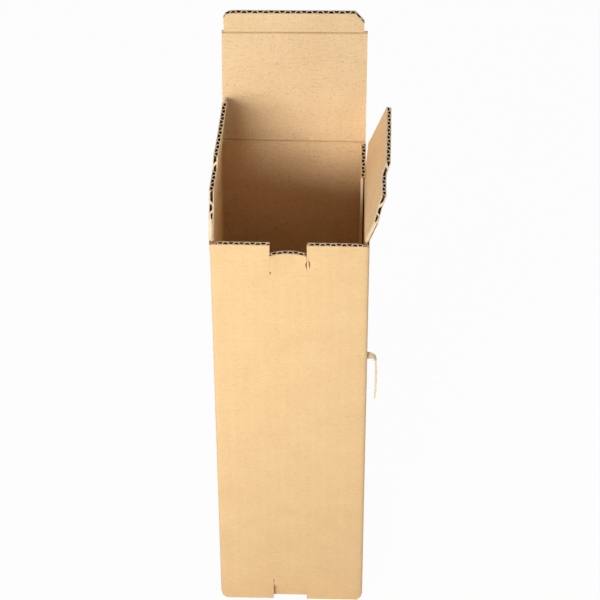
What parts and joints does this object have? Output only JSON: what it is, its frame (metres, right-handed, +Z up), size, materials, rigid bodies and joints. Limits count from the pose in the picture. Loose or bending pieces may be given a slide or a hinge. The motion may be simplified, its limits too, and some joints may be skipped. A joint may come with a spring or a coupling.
{
  "type": "bottle shipping box",
  "caption": "Tall square corrugated box for posting one bottle, standing open with its lid up, tuck flap, side dust flaps and thumb notch.",
  "frame": {"origin": "middle of the base, on the plane that the box stands on", "axes": "+Z up, front wall with the thumb notch at -Y, lid crease at +Y, +X to the right seen from the front"},
  "size_m": [0.1077, 0.095, 0.4381],
  "materials": {
    "kraft_board": "matt uncoated kraft"
  },
  "bodies": {
    "box": {"box_body": "kraft_board"},
    "lid": {"lid": "kraft_board"},
    "tuck": {"tuck_flap": "kraft_board"}
  },
  "joints": [
    {"name": "lid_crease", "type": "hinge", "parent": "box", "child": "lid", "pos_m": [0, 0.0475, 0.334], "axis": [-1, 0, 0], "range_deg": [-87.3, 170]},
    {"name": "tuck_crease", "type": "hinge", "parent": "lid", "child": "tuck", "pos_m": [0, 0.04326, 0.4239], "axis": [-1, 0, 0], "range_deg": [-86, 8]}
  ]
}
